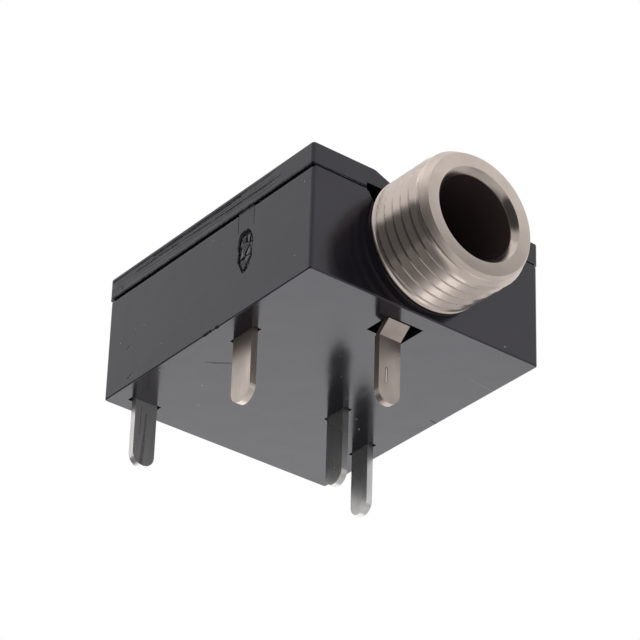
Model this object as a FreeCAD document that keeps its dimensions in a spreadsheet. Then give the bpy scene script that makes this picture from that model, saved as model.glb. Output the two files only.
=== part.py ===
import FreeCAD, Part
import math
import os
import Sketcher

# Stereo jack socket for a circuit board: moulded tray and lid, turned bush, five blade terminals.
# Frame: X to the right seen from the plug's side, Y from the mouth to the rear, Z up.
# The origin is the centre of the tray's underside, which seats on the board. Lengths are in mm.

SIZES = {
    # moulded tray
    "body_width": 11.8,
    "body_length": 14.0,
    "tray_height": 4.85,
    "floor_thickness": 1.0,
    "side_wall": 0.75,
    "rear_wall": 0.75,
    "front_wall": 0.9,
    "corner_round": 0.15,
    "edge_round": 0.06,
    "joint_height": 0.14,
    "joint_depth": 0.12,
    "joint_front_depth": 0.04,
    "saddle_width": 7.2,
    "saddle_gap": 0.05,
    # lid
    "lid_thickness": 1.05,
    "lid_overhang": 0.04,
    "lid_edge_round": 0.08,
    "lid_step": 0.25,
    "lid_step_gap": 0.06,
    "lid_lead_width": 2.9,
    "lid_lead_foot": 2.05,
    "lid_lead_depth": 0.34,
    "lid_relief_height": 0.24,
    "lid_band_setback": 1.5,
    "lid_band_margin": 0.16,
    "lid_band_depth": 0.07,
    "clip_width": 1.02,
    "clip_thickness": 0.37,
    "clip_setback": 4.38,
    "clip_foot": 2.1,
    "clip_hollow_top": 3.87,
    "clip_hollow_depth": 0.14,
    "clip_pit_floor": 1.8,
    "clip_gap": 0.03,
    # plug channel and bush
    "axis_height": 3.35,
    "bore_radius": 1.85,
    "mouth_flare": 0.25,
    "mouth_depth": 0.3,
    "thread_radius": 2.98,
    "thread_chamfer": 0.33,
    "thread_lead": 0.6,
    "bush_reach": 3.2,
    "thread_end_gap": 0.12,
    "journal_radius": 2.65,
    "journal_depth": 0.6,
    "neck_step": 0.25,
    "flange_step": 0.2,
    "flange_start": 2.3,
    "flange_thickness": 0.6,
    "seat_gap": 0.03,
    "lid_opening_gap": 0.07,
    "flare_rise": 0.93,
    "flare_inset": 0.15,
    "flare_spread": 0.22,
    "channel_gap": 0.25,
    # strip stock and blades
    "strip": 0.3,
    "slot_gap": 0.04,
    "wall_gap": 0.03,
    "blade_width": 1.08,
    "shoulder_width": 1.36,
    "shoulder_height": 0.45,
    "foot_margin": 0.35,
    "foot_height": 0.9,
    "band_low": 2.25,
    "band_gap": 0.15,
    # sleeve terminal, under the bush
    "sleeve_x": -0.635,
    "sleeve_setback": 0.95,
    "sleeve_joggle": 0.58,
    "sleeve_joggle_drop": 0.5,
    "sleeve_reach": 3.45,
    "yoke_width": 6.2,
    "yoke_foot": 0.45,
    "yoke_top": 3.9,
    "sleeve_hole_gap": 0.1,
    "sleeve_hole_side": 0.6,
    "sleeve_hole_back": 0.42,
    # ring spring, rear left
    "ring_inset": 1.44,
    "ring_bend_offset": 1.06,
    "ring_bend_radius": 0.45,
    "ring_reach": 3.0,
    "ring_nose_setback": 5.3,
    "ring_tail_offset": 0.66,
    "ring_tail_length": 0.6,
    # ring switch, left
    "ring_switch_inset": 1.25,
    "ring_switch_setback": 5.8,
    "ring_switch_reach": 3.1,
    "ring_switch_blade": 1.25,
    "ring_arm_gap": 0.35,
    "ring_arm_space": 0.35,
    "ring_hook_length": 0.75,
    # tip spring, right
    "tip_blade_setback": 10.23,
    "tip_reach": 3.15,
    "tip_turn_gap": 0.65,
    "tip_turn_width": 1.37,
    "tip_turn_radius": 0.55,
    "tip_nose_setback": 7.2,
    "tip_tail_start": 0.76,
    "tip_tail_length": 1.08,
    # tip switch, right of the plug channel
    "tip_switch_offset": 0.38,
    "tip_switch_setback": 8.48,
    "tip_switch_reach": 3.35,
    # both springs
    "nose_bite": 0.55,
    "nose_radius": 0.45,
    "tail_radius": 0.3,
    "spring_root": 0.05,
    "contact_gap": 0.01,
    # ribs inside the tray
    "rib_thickness": 0.5,
    "guide_gap": 0.49,
    "guide_thickness": 0.8,
    "guide_wall": 0.35,
}


class Size:
    """A length: its value in mm and the formula that ties it to the sheet."""

    def __init__(self, text, value):
        self.text = text
        self.value = value

    def join(self, other, sign, value):
        text = other.text if isinstance(other, Size) else repr(other)
        return Size("(%s %s %s)" % (self.text, sign, text), value)

    def __add__(self, other):
        return self.join(other, "+", self.value + number(other))

    def __sub__(self, other):
        return self.join(other, "-", self.value - number(other))

    def __mul__(self, other):
        return self.join(other, "*", self.value * number(other))

    def __truediv__(self, other):
        return self.join(other, "/", self.value / number(other))

    def __neg__(self):
        return Size("(-1 * %s)" % self.text, -self.value)


def number(length):
    return length.value if isinstance(length, Size) else float(length)


document = FreeCAD.newDocument("audio_jack_socket")
sheet = document.addObject("Spreadsheet::Sheet", "Sizes")


class Cells:
    """The sheet's cells by name, each as a Size."""


size = Cells()
for row, (name, length) in enumerate(SIZES.items(), start=1):
    sheet.set("A%d" % row, name)
    sheet.set("B%d" % row, str(length))
    sheet.setAlias("B%d" % row, name)
    setattr(size, name, Size("Sizes." + name, float(length)))
document.recompute()

# Places that several pieces share.
front = -size.body_length / 2
rear = size.body_length / 2
side = size.body_width / 2
inner_side = side - size.side_wall
tray_top = size.tray_height
half_strip = size.strip / 2
channel = size.bore_radius + size.channel_gap
bush_face = front - size.bush_reach
neck_radius = size.journal_radius - size.neck_step
flange_radius = size.journal_radius + size.flange_step
flange_rear = front + size.flange_start + size.flange_thickness
saddle_rear = flange_rear + size.saddle_gap
saddle_side = size.saddle_width / 2
band_high = tray_top - size.lid_step - size.band_gap
rib_top = band_high - size.band_gap
base_floor = Size("0", 0.0)


def behind(setback):
    """The place that lies the given distance behind the tray's front face."""
    return front + setback


def plane(body, role):
    return [item for item in body.Origin.OriginFeatures if item.Role == role][0]


def new_sketch(body, name, role, offset):
    """A sketch on one of the body's own origin planes, moved along the plane's normal."""
    sketch = body.newObject("Sketcher::SketchObject", name)
    sketch.AttachmentSupport = (plane(body, role), [""])
    sketch.MapMode = "FlatFace"
    sketch.setExpression("AttachmentOffset.Base.z", offset.text)
    return sketch


def pin_point(sketch, line, end, across, up):
    """Ties one end of a line, or a circle's centre, to its two coordinates."""
    for kind, length in (("DistanceX", across), ("DistanceY", up)):
        index = sketch.addConstraint(Sketcher.Constraint(kind, -1, 1, line, end, length.value))
        sketch.setExpression("Constraints[%d]" % index, length.text)


def draw_polygon(sketch, corners):
    """A closed outline of straight lines through the corners."""
    spots = [FreeCAD.Vector(across.value, up.value, 0) for across, up in corners]
    lines = []
    for first, second in zip(spots, spots[1:] + spots[:1]):
        lines.append(sketch.addGeometry(Part.LineSegment(first, second), False))
    for index, line in enumerate(lines):
        following = lines[(index + 1) % len(lines)]
        sketch.addConstraint(Sketcher.Constraint("Coincident", line, 2, following, 1))
    for line, (across, up) in zip(lines, corners):
        pin_point(sketch, line, 1, across, up)


def draw_rectangle(sketch, left, low, right, high):
    draw_polygon(sketch, [(left, low), (right, low), (right, high), (left, high)])


def draw_frame(sketch, left, low, right, high, side_depth, front_depth):
    """A band inside a rectangle's edge, with its own depth at the low edge."""
    draw_rectangle(sketch, left - side_depth, low - side_depth,
                   right + side_depth, high + side_depth)
    draw_rectangle(sketch, left + side_depth, low + front_depth,
                   right - side_depth, high - side_depth)


def draw_circle(sketch, across, up, radius):
    spot = FreeCAD.Vector(across.value, up.value, 0)
    circle = sketch.addGeometry(Part.Circle(spot, FreeCAD.Vector(0, 0, 1), radius.value), False)
    pin_point(sketch, circle, 3, across, up)
    index = sketch.addConstraint(Sketcher.Constraint("Radius", circle, radius.value))
    sketch.setExpression("Constraints[%d]" % index, radius.text)


def draw_blade(sketch, middle, width, top, tip):
    """A blade's outline: straight sides and a fully rounded tip, pointing down."""
    half = width / 2
    left, right, turn = middle - half, middle + half, tip + half
    corners = [(left, turn), (left, top), (right, top), (right, turn)]
    spots = [FreeCAD.Vector(across.value, up.value, 0) for across, up in corners]
    lines = []
    for first, second in zip(spots, spots[1:]):
        lines.append(sketch.addGeometry(Part.LineSegment(first, second), False))
    for line, following in zip(lines, lines[1:]):
        sketch.addConstraint(Sketcher.Constraint("Coincident", line, 2, following, 1))
    centre = FreeCAD.Vector(middle.value, turn.value, 0)
    circle = Part.Circle(centre, FreeCAD.Vector(0, 0, 1), half.value)
    arc = sketch.addGeometry(Part.ArcOfCircle(circle, math.pi, 2 * math.pi), False)
    sketch.addConstraint(Sketcher.Constraint("Coincident", arc, 1, lines[0], 1))
    sketch.addConstraint(Sketcher.Constraint("Coincident", arc, 2, lines[-1], 2))
    for line, (across, up) in zip(lines, corners):
        pin_point(sketch, line, 1, across, up)
    pin_point(sketch, arc, 3, middle, turn)


# For each plane: its role in the body, the axis that it faces, and whether its normal points
# down that axis.
PLANES = {"top": ("XY_Plane", False), "front": ("XZ_Plane", True), "side": ("YZ_Plane", False)}


def block(body, name, kind, view, low, high, draw, *places):
    """Adds (Pad) or cuts (Pocket) one outline, drawn in a view, between two planes."""
    role, backwards = PLANES[view]
    start_low = (kind == "Pad") != backwards
    start = low if start_low else high
    offset = -start if backwards else start
    sketch = new_sketch(body, name + "_sketch", role, offset)
    draw(sketch, *places)
    feature = body.newObject("PartDesign::" + kind, name)
    feature.Profile = sketch
    feature.setExpression("Length", (high - low).text)
    sketch.Visibility = False
    document.recompute()
    return feature


def round_edges(body, name, radius, picked):
    """Rounds the edges of the body's latest shape that the test picks."""
    base = body.Tip
    names = []
    for index, edge in enumerate(base.Shape.Edges, start=1):
        if picked(edge):
            names.append("Edge%d" % index)
    fillet = body.newObject("PartDesign::Fillet", name)
    fillet.Base = (base, names)
    fillet.setExpression("Radius", radius.text)
    document.recompute()
    return fillet


def upright(edge):
    first, last = edge.Vertexes[0].Point, edge.Vertexes[-1].Point
    return abs(first.x - last.x) + abs(first.y - last.y) < 1e-6 and abs(first.z - last.z) > 1e-6


def level_at(height):
    def test(edge):
        return all(abs(vertex.Z - height.value) < 1e-6 for vertex in edge.Vertexes)
    return test


def bent_path(sketch, corners, radii):
    """An open path of straight runs joined by tangent arcs, one arc at each inner corner."""
    spots = [FreeCAD.Vector(across.value, up.value, 0) for across, up in corners]
    guides = []
    for first, second in zip(spots, spots[1:]):
        guides.append(sketch.addGeometry(Part.LineSegment(first, second), True))
    for guide, following in zip(guides, guides[1:]):
        sketch.addConstraint(Sketcher.Constraint("Coincident", guide, 2, following, 1))
    for guide, (across, up) in zip(guides, corners):
        pin_point(sketch, guide, 1, across, up)
    pin_point(sketch, guides[-1], 2, *corners[-1])

    # Each arc touches both of its runs: it starts and ends a tangent's length from the corner.
    # An arc is held anticlockwise, so on a right-hand turn its start is the path's later point.
    starts, ends, arcs = [spots[0]], [], []
    for before, spot, after, radius in zip(spots, spots[1:], spots[2:], radii):
        arriving = (spot - before).normalize()
        leaving = (after - spot).normalize()
        turn = arriving.getAngle(leaving)
        back = radius.value * math.tan(turn / 2)
        ends.append(spot - arriving * back)
        starts.append(spot + leaving * back)
        inward = (leaving - arriving).normalize()
        centre = spot + inward * (radius.value / math.cos(turn / 2))
        to_left = arriving.cross(leaving).z > 0
        first, last = (ends[-1], starts[-1]) if to_left else (starts[-1], ends[-1])
        angles = [math.atan2(point.y - centre.y, point.x - centre.x) for point in (first, last)]
        circle = Part.Circle(centre, FreeCAD.Vector(0, 0, 1), radius.value)
        arcs.append((Part.ArcOfCircle(circle, *angles), (1, 2) if to_left else (2, 1)))
    ends.append(spots[-1])

    runs = []
    for start, end in zip(starts, ends):
        runs.append(sketch.addGeometry(Part.LineSegment(start, end), False))
    sketch.addConstraint(Sketcher.Constraint("Coincident", runs[0], 1, guides[0], 1))
    sketch.addConstraint(Sketcher.Constraint("Coincident", runs[-1], 2, guides[-1], 2))
    for place, run in enumerate(runs):
        if run != runs[0]:
            sketch.addConstraint(Sketcher.Constraint("PointOnObject", run, 1, guides[place]))
        if run != runs[-1]:
            sketch.addConstraint(Sketcher.Constraint("PointOnObject", run, 2, guides[place]))
    for run, following, (arc, arc_ends), radius in zip(runs, runs[1:], arcs, radii):
        bend = sketch.addGeometry(arc, False)
        near, far = arc_ends
        sketch.addConstraint(Sketcher.Constraint("Tangent", run, 2, bend, near))
        sketch.addConstraint(Sketcher.Constraint("Tangent", bend, far, following, 1))
        index = sketch.addConstraint(Sketcher.Constraint("Radius", bend, radius.value))
        sketch.setExpression("Constraints[%d]" % index, radius.text)


def bent_strip(body, name, view, start, middle, corners, radii):
    """An upright band of strip, swept along a bent path seen from above."""
    role, backwards = PLANES[view]
    profile = new_sketch(body, name + "_section", role, -start if backwards else start)
    draw_rectangle(profile, middle - half_strip, size.band_low, middle + half_strip, band_high)
    path = new_sketch(body, name + "_path", "XY_Plane", size.band_low)
    bent_path(path, corners, radii)
    document.recompute()
    sweep = body.newObject("PartDesign::AdditivePipe", name)
    sweep.Profile = profile
    sweep.Spine = (path, [])
    profile.Visibility = False
    path.Visibility = False
    document.recompute()
    return sweep


def new_body(label):
    body = document.addObject("PartDesign::Body", label)
    body.Label = label
    return body


def blade_slot(body, name, view, middle, along, width):
    """The slot in the tray's floor that a blade and its shoulders come down through."""
    half = width / 2 + size.slot_gap
    thick = half_strip + size.slot_gap
    if view == "side":
        places = (middle - thick, along - half, middle + thick, along + half)
    else:
        places = (along - half, middle - thick, along + half, middle + thick)
    block(body, name, "Pocket", "top", base_floor, size.floor_thickness, draw_rectangle, *places)


# Strip planes of the four upright contacts, and how far along each its blade stands.
ring_wall_y = rear - size.rear_wall - size.wall_gap - half_strip
tip_wall_x = inner_side - size.wall_gap - half_strip
ring_blade_x = size.ring_inset - side
ring_bend_x = ring_blade_x + size.ring_bend_offset
ring_bend_start = ring_bend_x - size.ring_bend_radius
ring_tail_x = -(size.bore_radius + size.ring_tail_offset)
ring_switch_x = size.ring_switch_inset - side
ring_switch_y = behind(size.ring_switch_setback)
ring_arm_y = saddle_rear + size.ring_arm_gap
tip_blade_y = behind(size.tip_blade_setback)
tip_switch_x = size.bore_radius + size.tip_switch_offset
tip_switch_y = behind(size.tip_switch_setback)
tip_turn_y = saddle_rear + size.tip_turn_gap
tip_bend_y = tip_turn_y + size.tip_turn_radius + size.spring_root
nose_x = size.bore_radius - size.nose_bite
wide_shoulder = size.shoulder_width + size.ring_switch_blade - size.blade_width
guide_front = tip_switch_y + size.shoulder_width / 2 + size.foot_margin + size.guide_gap
guide_rear = guide_front + size.guide_thickness


def make_housing():
    body = new_body("housing")
    block(body, "tray_block", "Pad", "top", base_floor, tray_top,
          draw_rectangle, -side, front, side, rear)
    round_edges(body, "upright_corners", size.corner_round, upright)
    round_edges(body, "underside_edge", size.edge_round, level_at(base_floor))
    block(body, "joint_groove", "Pocket", "top", tray_top - size.joint_height, tray_top,
          draw_frame, -side, front, side, rear, size.joint_depth, size.joint_front_depth)

    # The cavity goes round the saddle block that carries the bush.
    cavity_front = behind(size.front_wall)
    cavity_rear = rear - size.rear_wall
    block(body, "cavity", "Pocket", "top", size.floor_thickness, tray_top, draw_polygon, [
        (-inner_side, cavity_front), (-saddle_side, cavity_front), (-saddle_side, saddle_rear),
        (saddle_side, saddle_rear), (saddle_side, cavity_front), (inner_side, cavity_front),
        (inner_side, cavity_rear), (-inner_side, cavity_rear)])

    # Bush seat: a journal ring open at the top with flared mouth, a slot for the neck, and a
    # pocket for the flange.
    seat = size.journal_radius + size.seat_gap
    neck = neck_radius + size.seat_gap
    pocket = flange_radius + size.seat_gap
    journal_end = behind(size.journal_depth)
    flare_foot = size.thread_radius - size.flare_inset
    flare_top = size.thread_radius + size.flare_spread
    flare_low = size.axis_height + size.flare_rise
    flange_front = behind(size.flange_start) - size.seat_gap
    block(body, "journal_seat", "Pocket", "front", front, journal_end,
          draw_circle, base_floor, size.axis_height, seat)
    block(body, "journal_flare", "Pocket", "front", front, journal_end, draw_polygon, [
        (-flare_foot, flare_low), (flare_foot, flare_low),
        (flare_top, tray_top), (-flare_top, tray_top)])
    for name, radius, low, high in (("neck", neck, journal_end, flange_front),
                                    ("flange", pocket, flange_front, saddle_rear)):
        block(body, name + "_seat", "Pocket", "front", low, high,
              draw_circle, base_floor, size.axis_height, radius)
        block(body, name + "_entry", "Pocket", "front", low, high,
              draw_rectangle, -radius, size.axis_height, radius, tray_top)

    # Slot for the sleeve terminal's yoke, and the hole that its blade leaves by.
    yoke_front = behind(size.sleeve_setback)
    yoke_side = size.yoke_width / 2 + size.slot_gap
    block(body, "yoke_slot", "Pocket", "front", yoke_front - size.slot_gap,
          yoke_front + size.strip + size.slot_gap,
          draw_rectangle, -yoke_side, size.yoke_foot - size.slot_gap, yoke_side, tray_top)
    half_blade = size.blade_width / 2
    block(body, "sleeve_hole", "Pocket", "top", base_floor, size.floor_thickness,
          draw_rectangle, size.sleeve_x - half_blade - size.sleeve_hole_gap,
          yoke_front - size.sleeve_hole_gap,
          size.sleeve_x + half_blade + size.sleeve_hole_side,
          yoke_front + size.sleeve_joggle + size.strip + size.sleeve_hole_back)

    blade_slot(body, "ring_slot", "front", ring_wall_y, ring_blade_x, size.shoulder_width)
    blade_slot(body, "ring_switch_slot", "side", ring_switch_x, ring_switch_y, wide_shoulder)
    blade_slot(body, "tip_slot", "side", tip_wall_x, tip_blade_y, size.shoulder_width)
    blade_slot(body, "tip_switch_slot", "side", tip_switch_x, tip_switch_y, size.shoulder_width)

    # Ribs that hold the strips against their walls.
    ring_face = ring_wall_y - half_strip - size.slot_gap
    block(body, "ring_rib", "Pad", "top", size.floor_thickness, rib_top, draw_rectangle,
          ring_blade_x - size.rib_thickness / 2, ring_face - size.rib_thickness,
          ring_blade_x + size.rib_thickness / 2, ring_face)
    switch_back = ring_switch_x - half_strip - size.slot_gap
    block(body, "ring_switch_pad", "Pad", "top", size.floor_thickness, rib_top, draw_rectangle,
          -inner_side, ring_switch_y - size.ring_switch_blade,
          switch_back, ring_switch_y + size.ring_switch_blade / 2)
    switch_face = ring_switch_x + half_strip + size.slot_gap
    block(body, "ring_switch_rib", "Pad", "top", size.floor_thickness, rib_top, draw_rectangle,
          switch_face, ring_switch_y - size.rib_thickness / 2,
          switch_face + size.rib_thickness, ring_switch_y + size.rib_thickness / 2)
    tip_face = tip_wall_x - half_strip - size.slot_gap
    for name, place in (("tip_rib", tip_blade_y),
                        ("tip_front_rib", tip_bend_y + size.shoulder_width)):
        block(body, name, "Pad", "top", size.floor_thickness, rib_top, draw_rectangle,
              tip_face - size.rib_thickness, place - size.rib_thickness / 2,
              tip_face, place + size.rib_thickness / 2)

    # Low cradle under the plug's tip, below the band of the springs.
    guide_side = channel + size.guide_wall
    block(body, "guide", "Pad", "top", size.floor_thickness, size.band_low - size.band_gap,
          draw_rectangle, -guide_side, guide_front, guide_side, guide_rear)
    block(body, "guide_groove", "Pocket", "front", guide_front, guide_rear,
          draw_circle, base_floor, size.axis_height, channel)

    # Pits in the side walls that take the lid's legs.
    clip_y = behind(size.clip_setback)
    reach = size.clip_width / 2 + size.clip_gap
    deep = size.clip_thickness + size.clip_gap
    for name, low, high in (("left_clip_pit", -side, deep - side),
                            ("right_clip_pit", side - deep, side)):
        block(body, name, "Pocket", "side", low, high, draw_rectangle,
              clip_y - reach, size.clip_pit_floor, clip_y + reach, tray_top)
    return body


def make_lid():
    body = new_body("lid")
    top = tray_top + size.lid_thickness
    half = side + size.lid_overhang
    lid_front, lid_rear = front, rear + size.lid_overhang
    block(body, "cover", "Pad", "top", tray_top, top,
          draw_rectangle, -half, lid_front, half, lid_rear)
    round_edges(body, "cover_corners", size.corner_round, upright)
    round_edges(body, "cover_edge", size.lid_edge_round, level_at(top))

    # Step on the underside that drops into the tray behind the saddle.
    gap = size.lid_step_gap
    block(body, "locating_step", "Pad", "top", tray_top - size.lid_step, tray_top, draw_rectangle,
          gap - inner_side, saddle_rear + gap, inner_side - gap, rear - size.rear_wall - gap)

    # Opening over the bush's journal and flange, raised over the seat's flare at the front, its
    # two lead-in slopes, and the groove that clears the plug.
    flange_front = behind(size.flange_start) - size.lid_opening_gap
    for name, radius, low, high in (
            ("journal_opening", size.journal_radius, lid_front, flange_front),
            ("flange_opening", flange_radius, flange_front, saddle_rear)):
        block(body, name, "Pocket", "front", low, high,
              draw_circle, base_floor, size.axis_height, radius + size.lid_opening_gap)
    flare_top = size.thread_radius + size.flare_spread
    block(body, "flare_relief", "Pocket", "front", lid_front, behind(size.journal_depth),
          draw_rectangle, -flare_top, tray_top, flare_top, tray_top + size.lid_relief_height)
    lead_low = top - size.lid_lead_depth
    block(body, "lead_in", "Pocket", "front", lid_front, saddle_rear, draw_polygon, [
        (-size.lid_lead_foot, lead_low), (size.lid_lead_foot, lead_low),
        (size.lid_lead_width, top), (-size.lid_lead_width, top)])
    block(body, "plug_groove", "Pocket", "front", saddle_rear, guide_rear,
          draw_circle, base_floor, size.axis_height, channel)

    # Shallow band along each side, where the cover was trimmed.
    for name, low, high in (("left_band", -half, size.lid_band_depth - half),
                            ("right_band", half - size.lid_band_depth, half)):
        block(body, name, "Pocket", "side", low, high, draw_rectangle,
              behind(size.lid_band_setback), tray_top + size.lid_band_margin / 2,
              lid_rear, top - size.lid_band_margin)

    # One leg each side, let into the tray's wall.
    clip_y = behind(size.clip_setback)
    reach = size.clip_width / 2
    for name, low, high in (("left_clip", -side, size.clip_thickness - side),
                            ("right_clip", side - size.clip_thickness, side)):
        block(body, name, "Pad", "side", low, high, draw_rectangle,
              clip_y - reach, size.clip_foot, clip_y + reach, tray_top + size.lid_step)

    # Each leg's foot is pressed in, below the wall's face.
    hollow = size.clip_hollow_depth
    for name, low, high in (("left_clip_hollow", -side, hollow - side),
                            ("right_clip_hollow", side - hollow, side)):
        block(body, name, "Pocket", "side", low, high, draw_rectangle,
              clip_y - reach, size.clip_foot, clip_y + reach, size.clip_hollow_top)
    return body


def make_bush():
    """Turned from bar: the thread's outside, journal, neck and flange, all on the plug's axis."""
    body = new_body("bush")
    sketch = new_sketch(body, "bush_profile", "YZ_Plane", base_floor)
    sketch.setExpression("AttachmentOffset.Base.y", size.axis_height.text)
    thread_end = front - size.thread_end_gap
    journal_end = behind(size.journal_depth) - size.seat_gap
    draw_polygon(sketch, [
        (bush_face + size.mouth_depth, size.bore_radius),
        (bush_face, size.bore_radius + size.mouth_flare),
        (bush_face, size.thread_radius - size.thread_chamfer),
        (bush_face + size.thread_lead, size.thread_radius),
        (thread_end, size.thread_radius),
        (thread_end, size.journal_radius),
        (journal_end, size.journal_radius),
        (journal_end, neck_radius),
        (behind(size.flange_start), neck_radius),
        (behind(size.flange_start), flange_radius),
        (flange_rear, flange_radius),
        (flange_rear, size.bore_radius)])
    turned = body.newObject("PartDesign::Revolution", "turned_bush")
    turned.Profile = sketch
    turned.ReferenceAxis = (sketch, ["H_Axis"])
    turned.Angle = 360.0
    sketch.Visibility = False
    document.recompute()
    return body


def make_sleeve_terminal():
    """Yoke that hugs the bush's neck, with a joggled blade below."""
    body = new_body("sleeve_terminal")
    plate_front = behind(size.sleeve_setback)
    plate_rear = plate_front + size.strip
    yoke_side = size.yoke_width / 2
    grip = neck_radius + size.contact_gap
    block(body, "yoke", "Pad", "front", plate_front, plate_rear,
          draw_rectangle, -yoke_side, size.yoke_foot, yoke_side, size.yoke_top)
    block(body, "yoke_notch", "Pocket", "front", plate_front, plate_rear,
          draw_circle, base_floor, size.axis_height, grip)
    block(body, "yoke_mouth", "Pocket", "front", plate_front, plate_rear,
          draw_rectangle, -grip, size.axis_height, grip, size.yoke_top)

    # The blade comes straight down, leans rearwards and straightens again.
    half = size.blade_width / 2
    left, right = size.sleeve_x - half, size.sleeve_x + half
    drop = -size.sleeve_joggle_drop
    blade_front = plate_front + size.sleeve_joggle
    block(body, "joggle", "Pad", "side", left, right, draw_polygon, [
        (plate_front, size.yoke_foot), (plate_front, base_floor), (blade_front, drop),
        (blade_front + size.strip, drop), (plate_rear, half_strip), (plate_rear, size.yoke_foot)])
    block(body, "blade", "Pad", "front", blade_front, blade_front + size.strip, draw_blade,
          size.sleeve_x, size.blade_width, drop, -size.sleeve_reach)
    return body


def upright_contact(label, view, middle, along, width, shoulder, reach, foot_low, foot_high):
    """Blade, its shoulders in the floor slot, and the foot that rests on the floor."""
    body = new_body(label)
    low, high = middle - half_strip, middle + half_strip
    half = shoulder / 2
    block(body, "foot", "Pad", view, low, high, draw_rectangle,
          foot_low, size.floor_thickness, foot_high, size.floor_thickness + size.foot_height)
    block(body, "shoulders", "Pad", view, low, high, draw_rectangle,
          along - half, size.shoulder_height, along + half, size.floor_thickness)
    block(body, "blade", "Pad", view, low, high, draw_blade,
          along, width, size.shoulder_height, -reach)
    return body


def make_ring_terminal():
    """Rear-left terminal: its strip stands along the rear wall and carries the ring spring."""
    strip_left = size.wall_gap - inner_side
    body = upright_contact("ring_terminal", "front", ring_wall_y, ring_blade_x,
                           size.blade_width, size.shoulder_width, size.ring_reach,
                           strip_left, ring_bend_start)
    block(body, "strip_band", "Pad", "front", ring_wall_y - half_strip, ring_wall_y + half_strip,
          draw_rectangle, strip_left, size.floor_thickness, ring_bend_start, band_high)
    return body


def make_ring_spring():
    """Leaf on the left: root bend, long arm, rounded nose on the plug's ring, and a tail."""
    body = new_body("ring_spring")
    tail_end = ring_arm_y + size.ring_arm_space
    corners = [(ring_bend_start, ring_wall_y),
               (ring_bend_x, ring_wall_y),
               (-nose_x, behind(size.ring_nose_setback)),
               (ring_tail_x, tail_end + size.ring_tail_length),
               (ring_tail_x, tail_end)]
    radii = [size.ring_bend_radius, size.nose_radius, size.tail_radius]
    bent_strip(body, "leaf", "side", ring_bend_start, ring_wall_y, corners, radii)
    return body


def make_ring_switch():
    """Left contact: a strip along the left wall, hooked round to meet the ring spring's tail."""
    half = wide_shoulder / 2
    body = upright_contact("ring_switch", "side", ring_switch_x, ring_switch_y,
                           size.ring_switch_blade, wide_shoulder, size.ring_switch_reach,
                           ring_switch_y - half - size.foot_margin / 2,
                           ring_switch_y + half + size.foot_margin)
    arm_end = ring_switch_y + half
    block(body, "strip_band", "Pad", "side", ring_switch_x - half_strip,
          ring_switch_x + half_strip, draw_rectangle,
          ring_switch_y - half, size.floor_thickness, arm_end, band_high)
    hook_x = ring_tail_x + size.strip + size.contact_gap
    corners = [(ring_switch_x, arm_end), (ring_switch_x, ring_arm_y),
               (hook_x, ring_arm_y), (hook_x, ring_arm_y + size.ring_hook_length)]
    bent_strip(body, "arm", "front", arm_end, ring_switch_x, corners,
               [size.tail_radius, size.tail_radius])
    return body


def make_tip_terminal():
    """Right terminal: its strip runs forward along the right wall to the tip spring's bend."""
    half = size.shoulder_width / 2
    band_front = tip_bend_y
    band_rear = tip_blade_y + half
    body = upright_contact("tip_terminal", "side", tip_wall_x, tip_blade_y, size.blade_width,
                           size.shoulder_width, size.tip_reach,
                           tip_blade_y - half - size.foot_margin, band_rear + size.foot_margin)
    block(body, "strip_riser", "Pad", "side", tip_wall_x - half_strip, tip_wall_x + half_strip,
          draw_rectangle, tip_blade_y - half, size.floor_thickness, band_rear, band_high)
    block(body, "strip_band", "Pad", "side", tip_wall_x - half_strip, tip_wall_x + half_strip,
          draw_rectangle, band_front, size.band_low, band_rear, band_high)
    return body


def make_tip_spring():
    """Leaf on the right: turned back at the front, with a nose behind the plug's ball and a tail
    that rests on the tip switch."""
    body = new_body("tip_spring")
    tail_x = tip_switch_x + size.strip + size.contact_gap
    tail_start = tip_switch_y - size.tip_tail_start
    corners = [(tip_wall_x, tip_bend_y), (tip_wall_x, tip_turn_y),
               (tip_wall_x - size.tip_turn_width, tip_turn_y),
               (nose_x, behind(size.tip_nose_setback)),
               (tail_x, tail_start), (tail_x, tail_start + size.tip_tail_length)]
    radii = [size.tip_turn_radius, size.tip_turn_radius, size.nose_radius, size.tail_radius]
    bent_strip(body, "leaf", "front", tip_bend_y, tip_wall_x, corners, radii)
    return body


def make_tip_switch():
    """Right inner contact: a plate beside the plug channel that the tip spring rests on."""
    half = size.shoulder_width / 2
    body = upright_contact("tip_switch", "side", tip_switch_x, tip_switch_y,
                           size.blade_width, size.shoulder_width, size.tip_switch_reach,
                           tip_switch_y - half - size.foot_margin,
                           tip_switch_y + half + size.foot_margin)
    width = size.blade_width / 2
    block(body, "contact_plate", "Pad", "side", tip_switch_x - half_strip,
          tip_switch_x + half_strip, draw_rectangle,
          tip_switch_y - width, size.floor_thickness, tip_switch_y + width, band_high)
    return body


pieces = [make_housing(), make_lid(), make_bush(), make_sleeve_terminal(),
          make_ring_terminal(), make_ring_spring(), make_ring_switch(),
          make_tip_terminal(), make_tip_spring(), make_tip_switch()]
document.recompute()

for item in document.Objects:
    if "Invalid" in item.State or "Error" in item.State:
        raise RuntimeError("%s could not be built: %s" % (item.Name, item.State))
for piece in pieces:
    if piece.Shape.isNull() or not piece.Shape.isValid():
        raise RuntimeError("%s has no sound shape" % piece.Label)
    if len(piece.Shape.Solids) != 1:
        raise RuntimeError("%s is %d solids" % (piece.Label, len(piece.Shape.Solids)))

os.makedirs("parts", exist_ok=True)
for piece in pieces:
    piece.Shape.exportStep(os.path.join("parts", piece.Label + ".step"))
    print(piece.Label, round(piece.Shape.Volume, 3), "mm3")
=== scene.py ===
import math

import bpy
import numpy as np
from mathutils import Matrix, Vector


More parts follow.
